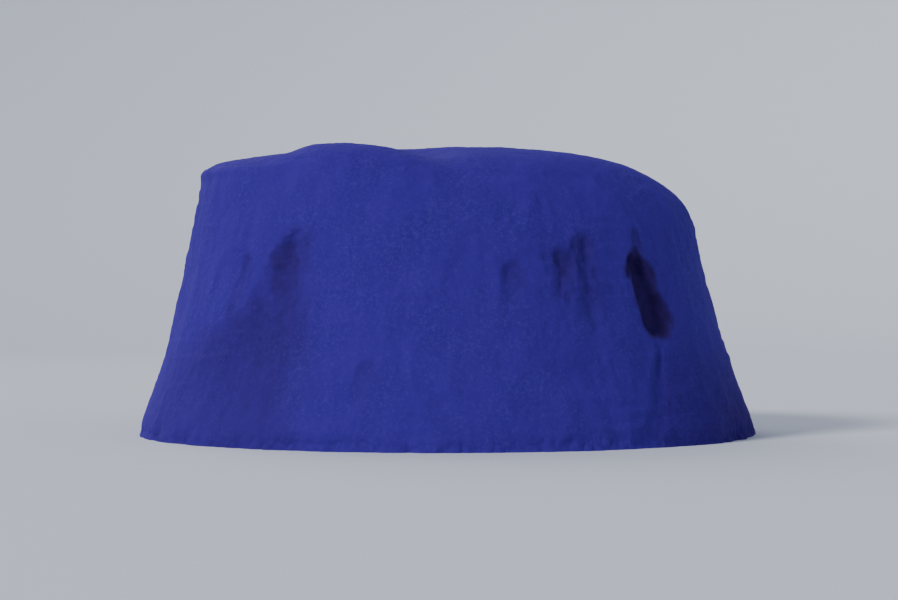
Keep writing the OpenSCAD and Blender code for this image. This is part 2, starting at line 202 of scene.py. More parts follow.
def rim_top(b):
    """Height of the unrounded roof over the middle of the rim at bearing b."""
    share = rim_share(b)
    p = polar(share * batter_radius(b, share * (ROOF_HEIGHT - ROOF_FALL)), b, 0)
    return roof_surface(p[..., 0], p[..., 1])


def scour_depth(b, z, wander=0):
    """Depth of the scours at a bearing and height, and how far they and the marks darken the snow with bare
    ice and painted shade.

    Each is a tapered trough with round ends on the unrolled wall. inside is 1 - 2 distance/width, so it is 1
    on its middle line and 0 at its edge. A sharp one is depth times smooth(inside/SCOUR_BANK). A soft one
    starts SOFT_MARGIN outside its edge, and goes from SOFT_START of its strength at its upper end down by
    SOFT_LOSS to its lower end. wander makes the edges ragged.
    """
    depth, bare_and_shade = 0 * (b + z), 0 * (b + z)
    for b0, z0, b1, z1, w0, w1, deep, icy_and_shade in SCOURS + PAINTED_SHADE_MARKS:
        arc = math.pi / 180 * float(batter_radius(np.float64(b0), z0))
        run = np.array([(b1 - b0) * arc, z1 - z0])
        u, v = (b - b0) * arc, z - z0
        t = np.clip((u * run[0] + v * run[1]) / (run @ run), 0, 1)
        width = w0 + (w1 - w0) * t
        distance = np.hypot(u - t * run[0], v - t * run[1])
        inside = 1 - 2 * distance / width + wander * EDGE_WANDER / np.maximum(width, EDGE_LEAST)
        if deep > SHARP_DEPTH:
            depth = np.maximum(depth, deep * smooth(inside / SCOUR_BANK))
            bare_and_shade = np.maximum(bare_and_shade, icy_and_shade * smooth((inside + SHARP_BARE_SHADE[0]) / SHARP_BARE_SHADE[1]))
        else:
            fade = SOFT_START - SOFT_LOSS * t
            depth = np.maximum(depth, deep * fade * smooth((inside + SOFT_MARGIN) / (1 + SOFT_MARGIN)))
            bare_and_shade = np.maximum(bare_and_shade, icy_and_shade * fade * smooth((inside + SOFT_BARE_SHADE[0]) / SOFT_BARE_SHADE[1]))
    return depth, bare_and_shade


def wall_point(b, z, depth):
    """Radius of the coat: battered radius times (1 - (z/top)^p)^(1/p), plus the lip, less the scours."""
    p = around(b, RIM)
    lip = LIP_REACH * bell(b - 180, LIP_SPREAD) * bell(z - LIP_HEIGHT, LIP_DEPTH / 2)
    return batter_radius(b, z) * (1 - np.minimum(1, z / rim_top(b)) ** p) ** (1 / p) + lip - depth


def form_normal(b, r, z):
    """Normal of the plain form, and the square of its upward part.

    The superellipse gives its radial part as (r/R)^(p-1) and its upward part as (z/H)^(p-1). Their bounds
    guard the powers for points off the form.
    """
    p = around(b, RIM)
    a = np.clip(r / batter_radius(b, z), 0.02, 1.2) ** (p - 1)
    c = np.clip(z / rim_top(b), 0, 1.1) ** (p - 1)
    t = np.radians(b)
    n = np.stack(np.broadcast_arrays(a * np.cos(t), a * np.sin(t), c), -1)
    n = n / np.linalg.norm(n, axis=-1, keepdims=True)
    return n, n[..., 2] ** 2


# ---------------------------------------------------------------- noise and weather
class Lattice:
    """Smooth 3-D noise from -1 to 1.

    Random values on a box lattice are blended by t^3 (6t^2 - 15t + 10) on each axis. Three large primes
    scatter the lattice's corners over a table of random values.
    """

    SIZE = 8192
    PRIMES = 73856093, 19349663, 83492791

    def __init__(self, seed):
        self.table = np.random.default_rng(seed).uniform(-1, 1, self.SIZE)

    def __call__(self, p, cell):
        q = p / np.asarray(cell, float)
        i = np.floor(q).astype(np.int64)
        f = q - i
        f = f * f * f * (f * (f * 6 - 15) + 10)
        total = 0
        for corner in range(8):
            key, weight = 0, 1
            for axis in range(3):
                step = corner >> axis & 1
                key = key ^ ((i[..., axis] + step) * self.PRIMES[axis])
                weight = weight * (f[..., axis] if step else 1 - f[..., axis])
            total = total + weight * self.table[key & (self.SIZE - 1)]
        return total


swell, lumps, flutes, strata, grains, ledges, clods, ripples = (Lattice(seed) for seed in range(11, 19))


def octaves(noise, p, layers):
    """Sum of a noise at several sizes: height times the noise, shifted and at the size of its cell."""
    return sum(height * noise(p + shift, cell) for height, shift, cell in layers)


def creased(noise, p, height, cell, level):
    """Hollows between creases where the noise crosses zero: height times (level less absolute noise)."""
    return height * (level - np.abs(noise(p, cell)))


def crust_ledges(p, z):
    """Broken ledges: a saw wave of the height, slow up and quick down, shifted by noise.

    A second noise, plus the first of CRUST_GAPS and over the second, fades them in, so they come in patches.
    """
    step = np.mod(z / CRUST_PITCH + CRUST_WANDER * strata(p, CRUST_CELL), 1)
    wave = smooth(step / CRUST_RISE) - smooth((step - CRUST_RISE) / (1 - CRUST_RISE))
    shift, fade = CRUST_GAPS
    return CRUST_HEIGHT * (wave - 0.5) * smooth((strata(p + 11, CRUST_GAPS_CELL) + shift) / fade)


def flank_relief(b, z):
    """Relief of the right flank: fuller under its shoulder, lower over it and hollow at mid height."""
    bells = sum(deep * bell(z - at, spread) for deep, at, spread in FLANK_BELLS)
    return bell(from_left(b) - FLANK_BEARING, FLANK_SPREAD) * bells


def old_and_shade_share(b, z):
    """Share of old coarse snow and painted shade, from 0 to 1, on the right flank beyond the crease, which is
    turned from the light.

    It is OLD_LEAST, plus a smooth step to the lower wall, plus bells for the corner at the foot, and it
    fades out towards the rim.
    """
    turned = from_left(b)
    crease = CREASE_BEARING - CREASE_TURN * np.clip((CREASE_TOP - z) / CREASE_FALL, 0, 1)
    flank = smooth((turned - crease) / CREASE_EDGE) * smooth((OLD_END - turned) / OLD_FADE)
    low = OLD_LOW * smooth((LOW_TOP - z) / LOW_FADE)
    corner = OLD_CORNER * (bell(turned - CORNER_BEARING, CORNER_SPREAD) * bell(z, CORNER_HEIGHT))
    return flank * np.clip(OLD_LEAST + low + corner, 0, 1) * smooth((OLD_TOP - z) / TOP_FADE)


def weathered(p, b, up, depth):
    """How far points of the coat move out along its own normal, by what wind and age have done to it.

    p are points on the plain form, up is 0 on the wall and 1 on the roof, and depth is the scours' depth.
    It is the sum of its layers: swells and the right flank's relief, scallops, upright flutes, ledges of
    wind crust, ripples on the roof, grain, clods on old snow, ledges in the scours, and a foot that is drawn
    in between rounded lumps.
    """
    z = p[..., 2]
    wall = 1 - up
    lift = octaves(swell, p, SWELLS) + flank_relief(b, z)
    lift += (SCALLOPS_ON_ROOF + (1 - SCALLOPS_ON_ROOF) * wall) * creased(lumps, p, *SCALLOPS)
    lift += wall * (octaves(flutes, p, FLUTES) + crust_ledges(p, z))
    lift += up * (creased(ripples, p, *RIPPLES) + octaves(ripples, p, FINE_RIPPLES))
    lift += octaves(grains, p, GRAIN)
    lift += (CLODS_FRESH + CLODS_AGED * old_and_shade_share(b, z)) * octaves(clods, p, OLD_CLODS)
    lift += np.clip(depth / LEDGE_DEPTH, 0, 1) * octaves(ledges, p, SCOUR_LEDGES)
    rounded = sum(height * np.abs(clods(p + shift, cell)) for height, shift, cell in FOOT_LUMPS)
    lift -= bell(z, FOOT_RISE) * wall * (FOOT_DRAW - rounded)
    return lift - DRAWN_IN * (1 + up)


def ragged_edge(b, z):
    """How far the scours' edges wander: noise 0.16 m and 0.06 m across, stretched upright."""
    return octaves(ledges, polar(batter_radius(b, z), b, z), SCOUR_EDGES)


# ---------------------------------------------------------------- meshes
def quads_of(index, flip=False):
    """Four-sided faces between neighbours of a 2-D array of point numbers."""
    a, b, c, d = index[:-1, :-1], index[:-1, 1:], index[1:, 1:], index[1:, :-1]
    order = (a, d, c, b) if flip else (a, b, c, d)
    return np.stack(order, -1).reshape(-1, 4)


def ring_index(rows, cols):
    """Point numbers of a grid whose last column joins its first."""
    index = np.arange(rows * cols).reshape(rows, cols)
    return np.concatenate([index, index[:, :1]], 1)


def piece(name, points, faces, material, nodes, shell_normals=None, flat_from=None, layers=None):
    """A finished piece: a mesh that rides on the root and stands for its CAD nodes.

    Faces from number flat_from on are flat. Those before it are smooth, with the shell normals of the points.
    layers are the mesh's attributes, which the material reads.
    """
    mesh = bpy.data.meshes.new(name)
    mesh.from_pydata(points.tolist(), [], faces)
    smooth_flags = np.ones(len(mesh.polygons), bool)
    if flat_from is not None:
        smooth_flags[flat_from:] = False
    mesh.polygons.foreach_set("use_smooth", smooth_flags)
    for key, values in (layers or {}).items():
        mesh.attributes.new(key, "FLOAT", "POINT").data.foreach_set("value", values.astype(np.float32))
    mesh.materials.append(material)
    mesh.update()
    if shell_normals is not None:
        vertex = np.empty(len(mesh.loops), np.int32)
        mesh.loops.foreach_get("vertex_index", vertex)
        normals = np.zeros((len(mesh.loops), 3))
        count = 4 * flat_from
        normals[:count] = shell_normals[vertex[:count]]
        mesh.normals_split_custom_set(normals.tolist())
    obj = bpy.data.objects.new(name, mesh)
    bpy.context.scene.collection.objects.link(obj)
    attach(obj, "root")
    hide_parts(*nodes)
    return obj


def grid_normals(p):
    """Unit normals of a grid with one extra row and column all round: the step across times the step up."""
    along = p[1:-1, 2:] - p[1:-1, :-2]
    rise = p[2:, 1:-1] - p[:-2, 1:-1]
    n = np.cross(along, rise)
    return n / np.linalg.norm(n, axis=-1, keepdims=True)


def shell(name, outer, inner, material, layers):
    """A closed panel between a fine outer grid and a coarse inner one.

    The outer grid has one extra row and column all round, for its normals. Each side is closed by flat faces,
    from one inner edge to the STRIDE outer edges beside it.
    """
    normals = grid_normals(outer)
    skin = outer[1:-1, 1:-1]
    rows, cols = skin.shape[:2]
    inner_count = inner.shape[0] * inner.shape[1]
    o = np.arange(rows * cols).reshape(rows, cols)
    i = rows * cols + np.arange(inner_count).reshape(inner.shape[:2])
    faces = quads_of(o).tolist()
    shell_faces = len(faces)
    faces += quads_of(i, flip=True).tolist()
    sides = ((o[0], i[0]), (o[-1][::-1], i[-1][::-1]), (o[::-1, 0], i[::-1, 0]), (o[:, -1], i[:, -1]))
    for fine, coarse in sides:
        for k in range(len(coarse) - 1):
            beside = fine[k * STRIDE:(k + 1) * STRIDE + 1][::-1].tolist()
            faces.append([int(coarse[k]), int(coarse[k + 1])] + beside)
    points = np.concatenate([skin.reshape(-1, 3), inner.reshape(-1, 3)])
    plain = np.zeros(inner_count)
    full = {key: np.concatenate([values[1:-1, 1:-1].ravel(), plain]) for key, values in layers.items()}
    return piece(name + "_snow", points, faces, material, [name],
                 normals.reshape(-1, 3), shell_faces, full)


# ---------------------------------------------------------------- the dome's section and the doorway's arch
def room_ray(a):
    """Distance from the floor's middle to the room's face at a degrees up.

    It is ((cos/radius)^n + (sin/height)^n)^(-1/n), with n the FULLNESS.
    """
    t = np.radians(a)
    across = np.abs(np.cos(t) / ROOM_RADIUS) ** FULLNESS
    upward = np.abs(np.sin(t) / ROOM_HEIGHT) ** FULLNESS
    return (across + upward) ** (-1 / FULLNESS)


def on_ray(a, distance):
    """(radius, height) at that distance along the ray at elevation a."""
    return np.array([distance * np.cos(np.radians(a)), distance * np.sin(np.radians(a))])


# The dome's outer face, from bed joint to bed joint and to its top, and the run along it
BED_JOINTS = [on_ray(i * COURSE_ANGLE, room_ray(i * COURSE_ANGLE) + BLOCK) for i in range(COURSES + 1)]
DOME = np.array(BED_JOINTS + [np.array([0, room_ray(90) + BLOCK])])
DOME_RUN = np.concatenate([[0], np.cumsum(np.linalg.norm(np.diff(DOME, axis=0), axis=1))])


def dome_radius(z):
    """Radius of the dome's outer face at a height, straight between the bed joints."""
    return np.interp(z, DOME[:, 1], DOME[:, 0])


def arch_top(x):
    """Height of the lining's top at x from the doorway's middle: SPRING plus a half circle's height."""
    return SPRING + np.sqrt(np.maximum(0, (LINING_REACH + CLEAR) ** 2 - x * x))


def arch_turn(radius, z):
    """Bearing, in degrees off the doorway's middle, at which the lining's side meets that radius at height z.

    The lining's half width is its reach up to SPRING, and over it a half circle's.
    """
    half = np.sqrt(np.maximum(0, (LINING_REACH + CLEAR) ** 2 - np.maximum(0, z - SPRING) ** 2))
    return np.degrees(np.arcsin(np.clip(half / radius, -1, 1)))


# ---------------------------------------------------------------- materials
# Scales of the snow's patterns, each 1000 over its size in millimetres: clouds of denser snow 450 mm across,
# upright streaks of 110 mm, clots of refrozen snow of 70 mm, lumps of crust of 25 mm and grains of 5 mm.
# Real grains are under 1 mm, too fine to show, and are drawn as coarse as they need to show.
CLOUDS, STREAKS, CLOTS, LUMPS, GRAINS = 2.2, 9, 14, 40, 190
# Streaks are squeezed upright by this, so they come out half a metre tall
STREAK_SQUEEZE = (1, 1, 0.22)
# Snow is grains of ice, so it has the IOR of ice. Light goes 14 mm into it, and blue goes farthest
ICE_IOR, LIGHT_DEPTH, DEPTH_BY_COLOUR = 1.31, 0.014, (0.6, 0.8, 1.0)
# Sockets of a colour mix: its share, both colours, and the result
SHARE, FIRST, SECOND, MIXED = 0, 6, 7, 2


def linear(code):
    """An sRGB hex colour as linear RGBA: c/12.92 below 0.04045, else ((c + 0.055)/1.055)^2.4."""
    srgb = [int(code[k:k + 2], 16) / 255 for k in (1, 3, 5)]
    return [c / 12.92 if c <= 0.04045 else ((c + 0.055) / 1.055) ** 2.4 for c in srgb] + [1]


def add(tree, kind, inputs=None, links=None, **settings):
    """Adds one node, with its settings, its input values and its links by input name or number."""
    n = tree.nodes.new(kind)
    for key, value in settings.items():
        setattr(n, key, value)
    for key, value in (inputs or {}).items():
        n.inputs[key].default_value = value
    for key, source in (links or {}).items():
        tree.links.new(source, n.inputs[key])
    return n


def snow(name, fresh, shade, old_and_shade, bare_ice_and_shade, frost_glint, rough=0.82, grain=0.0022, scatter=0.25, gleam=0.12):
    """A snow material: fresh to shade in clouds, old snow and painted shade by the piece's age layer, bare
    ice and painted shade by its scour layer.

    The frost colour is painted glints: crystals that stand up from the crust, drawn lighter where they
    catch the light. rough is the mean roughness, grain the height of the grains, scatter the share of light
    that goes in, and gleam the shine.
    """
    made = bpy.data.materials.new(name)
    made.use_nodes = True
    t = made.node_tree
    t.nodes.clear()
    place = add(t, "ShaderNodeTexCoord").outputs["Object"]
    tall = add(t, "ShaderNodeMapping", {"Scale": STREAK_SQUEEZE}, {"Vector": place}).outputs[0]
    age_and_shade = add(t, "ShaderNodeAttribute", attribute_name="age_and_shade").outputs["Fac"]
    scour = add(t, "ShaderNodeAttribute", attribute_name="scour").outputs["Fac"]
    clouds, streaks, clots, fine, crust = (
        add(t, "ShaderNodeTexNoise", {"Scale": scale, "Detail": detail, "Roughness": roughness},
            {"Vector": vector}).outputs["Fac"]
        for scale, detail, roughness, vector in (
            (CLOUDS, 5, 0.6, place), (STREAKS, 4, 0.55, tall), (CLOTS, 6, 0.7, place),
            (GRAINS, 2, 0.6, place), (LUMPS, 5, 0.65, place)))
    # fresh snow, denser and darker where clouds and streaks meet
    both = add(t, "ShaderNodeMath", None, {0: clouds, 1: streaks}, operation="ADD").outputs[0]
    spread = add(t, "ShaderNodeMapRange", {"From Min": 0.6, "From Max": 1.5}, {"Value": both}).outputs[0]
    base = add(t, "ShaderNodeMix", {FIRST: linear(fresh), SECOND: linear(shade)}, {SHARE: spread},
               data_type="RGBA").outputs[MIXED]
    # old snow and bare ice, both with painted shade, each by its layer times 0.7 to 1.3, which breaks them up
    # into clots
    broken = add(t, "ShaderNodeMapRange", {"From Min": 0.3, "From Max": 0.7, "To Min": -0.3, "To Max": 0.3},
                 {"Value": clots}).outputs[0]
    aged_and_shaded, bare_and_shade = (
        add(t, "ShaderNodeMath", None, {0: layer, 1: broken, 2: layer}, operation="MULTIPLY_ADD").outputs[0]
        for layer in (age_and_shade, scour))
    base = add(t, "ShaderNodeMix", {SECOND: linear(old_and_shade)}, {SHARE: aged_and_shaded, FIRST: base},
               data_type="RGBA").outputs[MIXED]
    # painted glints of frost on the highest grains and lumps, more of them in the clouds, and none on bare
    # ice
    raised = add(t, "ShaderNodeMath", None, {0: fine, 1: crust}, operation="ADD").outputs[0]
    drifted = add(t, "ShaderNodeMath", {1: 0.5}, {0: clouds, 2: raised}, operation="MULTIPLY_ADD").outputs[0]
    tipped = add(t, "ShaderNodeMapRange", {"From Min": 1.28, "From Max": 1.62, "To Min": 0.0, "To Max": 0.29},
                 {"Value": drifted}).outputs[0]
    base = add(t, "ShaderNodeMix", {SECOND: linear(frost_glint)}, {SHARE: tipped, FIRST: base},
               data_type="RGBA").outputs[MIXED]
    # bare ice and the painted shade of the scours' hollows go over all
    base = add(t, "ShaderNodeMix", {SECOND: linear(bare_ice_and_shade)}, {SHARE: bare_and_shade, FIRST: base},
               data_type="RGBA").outputs[MIXED]
    low = add(t, "ShaderNodeBump", {"Strength": 0.7, "Distance": grain * 3}, {"Height": crust}).outputs[0]
    high = add(t, "ShaderNodeBump", {"Strength": 0.8, "Distance": grain},
               {"Height": fine, "Normal": low}).outputs[0]
    gloss = add(t, "ShaderNodeMapRange",
                {"From Min": 0.35, "From Max": 0.65, "To Min": rough - 0.12, "To Max": rough + 0.14},
                {"Value": fine}).outputs[0]
    shader = add(t, "ShaderNodeBsdfPrincipled",
                 {"IOR": ICE_IOR, "Specular IOR Level": gleam, "Subsurface Weight": scatter,
                  "Subsurface Radius": DEPTH_BY_COLOUR, "Subsurface Scale": LIGHT_DEPTH},
                 {"Base Color": base, "Roughness": gloss, "Normal": high})
    add(t, "ShaderNodeOutputMaterial", None, {"Surface": shader.outputs[0]})
    return made


# Painted dusk light: the snow is white, and its deep violet blue and its darkness are the dim light of dusk
# painted into these colours, the same for all the snow outside
DUSK = dict(fresh="#3D288F", shade="#301F7E", old_and_shade="#2B1567", bare_ice_and_shade="#2B1953", frost_glint="#6A5CBE")
# Wind slab: fine grains that wind packed hard, a dull skin with darker clouds and faint painted glints of
# frost
COAT = snow("wind_packed_snow", **DUSK)
# Drifted snow: what wind laid down on the roof, with the same dull skin over its ripples
ROOF = snow("drifted_snow", **DUSK)
# Refrozen old snow of the right flank: coarse, and its age layer makes it darker and mottled towards the
# foot, with the painted shade of a flank turned from the light
OLD = snow("refrozen_old_snow", **DUSK)
# Sawn blocks: paler snow from under the crust, in the same painted dusk blue, with a finer grain and a little
# glaze from warmth in the room
SAWN = snow("sawn_snow_blocks", fresh="#5645AE", shade="#46369A", old_and_shade="#3A2C7C", bare_ice_and_shade="#332870",
            frost_glint="#8478CC", rough=0.6, grain=0.0016, gleam=0.25)
# Doorway blocks: trimmed by knife and rubbed smooth, in the painted dusk blue, a shade darker than the sawn
# ones
TRIMMED = snow("trimmed_doorway_snow", fresh="#5241AA", shade="#423396", old_and_shade="#3A2C7C", bare_ice_and_shade="#332870",
               frost_glint="#8074C8", rough=0.6, grain=0.0016, gleam=0.25)

# ---------------------------------------------------------------- coat: wall panels
# The height and the bearing off its middle at which the wall's radius is taken over and beside the doorway
ARCH_LEVEL, ARCH_BESIDE = 0.95, 6


def outer_wall(b, z):
    """Points of the weathered wall, and its darkening by bare ice and painted shade, at bearings and heights
    given as grids.
    """
    depth, bare_and_shade = scour_depth(b, z, ragged_edge(b, z))
    r = wall_point(b, z, depth)
    p = polar(r, b, z)
    n, up = form_normal(b, r, z)
    return p + n * weathered(p, b, up, depth)[..., None], bare_and_shade


def kept_low(p, b):
    """Draws points in to just inside the plain foot's radius, so that the igloo keeps its size."""
    r = np.hypot(p[..., 0], p[..., 1])
    k = np.minimum(1, (around(b, FOOT) - FOOT_MARGIN) / r)
    return np.stack([p[..., 0] * k, p[..., 1] * k, p[..., 2]], -1)


def wall_piece(number, name, material, slot, per_degree, row):
    """The wall panel from one joint to the next.

    Beside the doorway its side follows the lining, and over the doorway its foot does.
    """
    start, end = WALL_JOINTS[number], WALL_JOINTS[number + 1]
    cols = int(round((end - start) * per_degree / STRIDE)) * STRIDE
    rows = int(round(EAVES / row / STRIDE)) * STRIDE

    def panel(i, j, radius):
        """Bearings and heights at shares i of the height and j of the width, on a face with that radius."""
        b, z = start + (end - start) * j, EAVES * i
        if name == "coat_over_doorway":
            foot = arch_top(radius(b, ARCH_LEVEL) * np.cos(np.radians(b)))
            z = foot + (EAVES - foot) * i
        elif name == "coat_doorway_right":
            last = np.minimum(end, DOORWAY - arch_turn(radius(DOORWAY - ARCH_BESIDE, z), z))
            b = start + (last - start) * j
        elif name == "coat_doorway_left":
            first = np.maximum(start, DOORWAY + arch_turn(radius(DOORWAY + ARCH_BESIDE, z), z))
            b = first + (end - first) * j
        return b, z

    i, j = np.meshgrid(np.arange(-1, rows + 2) / rows, np.arange(-1, cols + 2) / cols, indexing="ij")
    b, z = panel(i, j, batter_radius)
    outer, bare_and_shade = outer_wall(b, z)
    coarse = (slice(1, -1, STRIDE),) * 2
    b_in, z_in = panel(i[coarse], j[coarse], lambda b, z: dome_radius(z))
    inner = polar(dome_radius(z_in) + OFF_DOME, b_in, z_in)
    # the age layer carries old snow and painted shade, the scour layer bare ice and painted shade
    return shell(name, kept_low(outer, b), inner, material, {"age_and_shade": old_and_shade_share(b, z), "scour": bare_and_shade})


for number, (name, material, slot, fineness) in enumerate((
        ("coat_rear_right", COAT, "coat_snow", PLAIN), ("coat_doorway_right", COAT, "coat_snow", PLAIN),
        ("coat_over_doorway", COAT, "coat_snow", PLAIN), ("coat_doorway_left", COAT, "coat_snow", PLAIN),
        ("coat_rear_left", COAT, "coat_snow", PLAIN), ("coat_left_front", COAT, "coat_snow", FINE),
        ("coat_front_left", COAT, "coat_snow", FINE), ("coat_front_right", COAT, "coat_snow", FINE),
        ("coat_right_front", OLD, "old_snow", FINE), ("coat_right_rear", OLD, "old_snow", PLAIN))):
    wall_piece(number, name, material, slot, **fineness)

# ---------------------------------------------------------------- coat: roof pieces and crown
# Share of a roof piece's rows at which it has its rim, and how the rows beyond crowd towards the rim
RIM_SPLIT, CROWDING = 0.27, 1.3
# Radius of the rounded lip round the vent, and the numbers of rows over its quarter circle and down the vent
VENT_LIP, LIP_ROWS, VENT_ROWS = 0.03, 6, 6


def roof_form(b, t):
    """The plain roof at shares t from the eaves to the crown: where it is still wall, and radius and height.

    Up to RIM_SPLIT it is the wall, which ends at the middle of the rim. From there the radius goes in to the
    crown, and the height is the roof's times (1 - (share r/rim)^p)^(1/p).
    """
    share, p = rim_share(b), around(b, RIM)
    top = rim_top(b)
    wall_height = EAVES + (share * top - EAVES) * (np.minimum(t, RIM_SPLIT) / RIM_SPLIT)
    rim = batter_radius(b, share * top) * share
    u = np.maximum(0, t - RIM_SPLIT) / (1 - RIM_SPLIT)
    r = rim + (CROWN - rim) * u ** CROWDING
    flat = polar(r, b, 0)
    roof_height = roof_surface(flat[..., 0], flat[..., 1]) * (1 - (r * share / rim) ** p) ** (1 / p)
    on_wall = t < RIM_SPLIT
    return on_wall, r, np.where(on_wall, wall_height, roof_height)


def outer_roof(b, t):
    """Points, darkening by bare ice and painted shade, and heights of the weathered roof on a grid."""
    on_wall, r, z = roof_form(b, t)
    depth, bare_and_shade = scour_depth(b, z, ragged_edge(b, z))
    depth, bare_and_shade = depth * on_wall, bare_and_shade * on_wall
    r = np.where(on_wall, wall_point(b, z, depth), r)
    p = polar(r, b, z)
    n, up = form_normal(b, r, z)
    return p + n * weathered(p, b, up, depth)[..., None], bare_and_shade, z


def roof_piece(number, name, per_degree):
    """The roof piece from one joint to the next, over the dome's upper courses."""
    start, end = ROOF_JOINTS[number], ROOF_JOINTS[number + 1]
    cols = int(round((end - start) * per_degree / STRIDE)) * STRIDE
    i, j = np.meshgrid(np.arange(-1, ROOF_ROWS + 2), np.arange(-1, cols + 2), indexing="ij")
    b = start + (end - start) * j / cols
    outer, bare_and_shade, z = outer_roof(b, i / ROOF_ROWS)
    low = np.interp(EAVES, DOME[:, 1], DOME_RUN)
    high = np.interp(-CROWN, -DOME[:, 0], DOME_RUN)
    run = np.linspace(low, high, ROOF_ROWS // STRIDE + 1)[:, None]
    radius, height = np.interp(run, DOME_RUN, DOME[:, 0]), np.interp(run, DOME_RUN, DOME[:, 1])
    inner = polar(radius + OFF_ROOF, b[0, 1:-1:STRIDE], height + OFF_DOME * (run > low))
    # the age layer carries old snow and painted shade, the scour layer bare ice and painted shade
    return shell(name, outer, inner, ROOF, {"age_and_shade": old_and_shade_share(b, z), "scour": bare_and_shade})


for number, (name, per_degree) in enumerate((
        ("roof_rear", 2), ("roof_rear_left", 2), ("roof_front_left", 3),
        ("roof_front", 3), ("roof_right", 3), ("roof_rear_right", 2))):
    roof_piece(number, name, per_degree)


def crown():
    """The crown: its top runs on from the roof pieces to the vent's lip, then down the vent and back."""
    u = np.arange(-1, CROWN_ROWS + 2) / CROWN_ROWS
    edge = VENT + VENT_LIP
    bend = np.radians(np.arange(1, LIP_ROWS + 1) * 90 / LIP_ROWS)[:, None]
    r = (CROWN + (edge - CROWN) * u)[:-1, None]
    drop = np.concatenate([0 * r, VENT_LIP - VENT_LIP * np.cos(bend)])
    r = np.concatenate([r, edge - VENT_LIP * np.sin(bend)])
    b = np.arange(-1, CROWN_COLS + 1) * 360 / CROWN_COLS
    flat = polar(r, b, 0)
    plain = roof_surface(flat[..., 0], flat[..., 1])
    p = np.stack([flat[..., 0], flat[..., 1], plain - drop], -1)
    n, up = form_normal(b, r, plain)
    p = p + n * weathered(p, b, up, 0)[..., None]
    top = p[1:-1, 1:-1]
    # the rest as (radius, height): down the vent, then out to the last bed joint and to the crown's edge
    down = np.linspace(float(top[-1, :, 2].mean()), DOME[-1, 1] + OFF_DOME, VENT_ROWS + 1)[1:]
    profile = np.array([(VENT, height) for height in down]
                       + [DOME[COURSES] + (0, OFF_DOME),
                          (CROWN, np.interp(-CROWN, -DOME[:, 0], DOME[:, 1]) + OFF_DOME)])
    rest = polar(profile[:, :1], b[1:-1], profile[:, 1:])
    points = np.concatenate([top, rest])
    index = ring_index(len(points), CROWN_COLS)
    faces = quads_of(index[:len(top)]).tolist()
    shown = len(faces)
    faces += quads_of(np.concatenate([index[len(top) - 1:], index[:1]])).tolist()
    return piece("roof_crown_snow", points.reshape(-1, 3), faces, ROOF, ["roof_crown"],
                 grid_normals(p).reshape(-1, 3), shown)


crown()

# ---------------------------------------------------------------- snow blocks
# Cells of a block's skin along its length, depth and height, for the dome, a jamb and the arch
BLOCK_CELLS, JAMB_CELLS, WEDGE_CELLS = (20, 8, 12), (8, 16, 12), (12, 16, 8)
# Sawn lumps and crumbs: sizes of their cells, the crumbs' share of the lumps' height, and how far lumps are
# set back. Each block's noise is shifted by its number times BLOCK_SHIFT
LUMP_CELL, CRUMB_CELL, CRUMB_SHARE, LUMPS_BACK = 0.09, 0.025, 0.4, 0.6
BLOCK_SHIFT = np.array([3.1, 1.7, 2.3])
# The same on the closing block, as shares of its radius
KING_LUMPS, KING_CRUMBS = 0.010, 0.004
# Rounding of the edges of the dome's blocks and of the doorway's, and how far their faces are drawn in
BLOCK_ROUND, LINING_ROUND, BLOCK_INSET, LINING_INSET = 0.022, 0.016, 0.003, 0.0015
# Height of the lumps on both, and how much of a point's place comes from even spacing, the rest from the sine
SAWN_LUMPS, EVEN_SHARE = 0.003, 0.45
# The block over the doorway keeps at least a tenth of its height
MOST_CUT = 0.9


def box_skin(n):
    """Points of a cube's skin from -1 to 1, n cells along each axis, with its outward faces.

    Places are a mix of even ones and their sine, so that the cells get narrower towards the edges.
    """
    keys = np.stack(np.meshgrid(*[np.arange(k + 1) for k in n], indexing="ij"), -1)
    on_skin = ((keys == 0) | (keys == np.array(n))).any(-1)
    index = np.full(on_skin.shape, -1)
    index[on_skin] = np.arange(on_skin.sum())
    even = keys[on_skin] / np.array(n) * 2 - 1
    uvw = EVEN_SHARE * even + (1 - EVEN_SHARE) * np.sin(even * math.pi / 2)
    faces = []
    for axis in range(3):
        first, last = np.take(index, 0, axis), np.take(index, n[axis], axis)
        faces += [quads_of(first, flip=axis != 1), quads_of(last, flip=axis == 1)]
    return uvw, np.concatenate(faces)


def eased(uvw, half, radius):
    """Rounds a box's edges: pulls points to within radius of its core box. Gives shares of the half sizes."""
    q = uvw * half
    core = np.clip(q, -(half - radius), half - radius)
    away = q - core
    length = np.maximum(np.linalg.norm(away, axis=-1, keepdims=True), 1e-9)
    reach = np.abs(away).max(-1, keepdims=True)
    return (core + away / length * np.minimum(radius, reach)) / half


def mesh_normals(p, quads):
    """Unit normals at a quad mesh's points: the sum of the cross products of the diagonals of faces there."""
    n = np.cross(p[quads[:, 2]] - p[quads[:, 0]], p[quads[:, 3]] - p[quads[:, 1]])
    total = np.stack([np.bincount(quads.ravel(), np.repeat(n[:, k], 4), len(p)) for k in range(3)], -1)
    return total / np.maximum(np.linalg.norm(total, axis=-1, keepdims=True), 1e-12)


